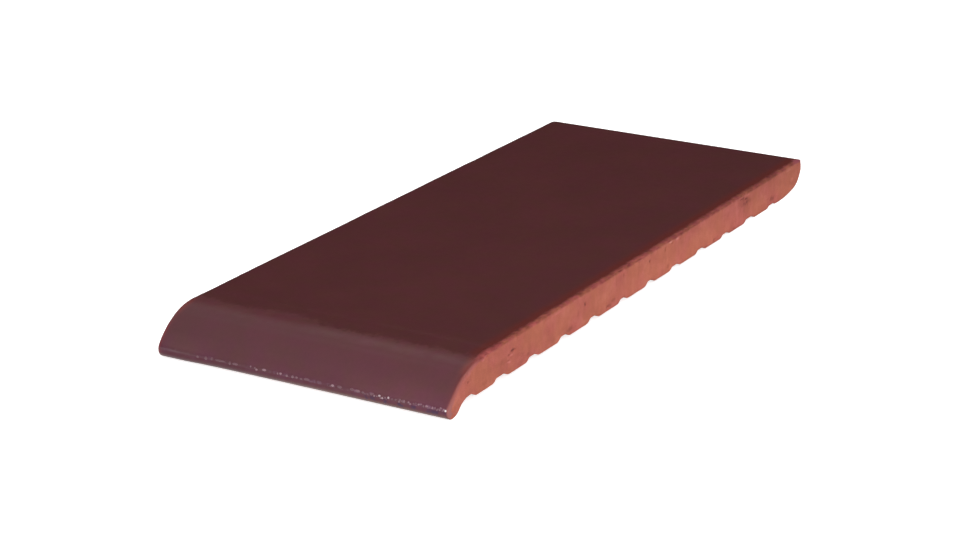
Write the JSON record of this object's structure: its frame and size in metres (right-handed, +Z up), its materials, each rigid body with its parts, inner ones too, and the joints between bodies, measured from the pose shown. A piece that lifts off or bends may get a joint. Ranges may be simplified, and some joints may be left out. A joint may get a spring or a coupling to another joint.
{
  "type": "clinker sill tile",
  "caption": "Glazed clinker window-sill tile with a bull nose, drip throat, grooved bedding side and curved heel.",
  "frame": {"origin": "middle of the outer box, on the level floor that the tile lies on", "axes": "+X across the width from cut face to cut face, +Y from the nose to the back face, +Z up; the top face slopes down to the back by 0.69 degrees, because the tile lies on its lip and its last land"},
  "size_m": [0.12, 0.2802, 0.0156],
  "materials": {
    "fired_clay": "satin"
  },
  "bodies": {
    "root": {"sill_tile": "fired_clay"}
  },
  "joints": []
}
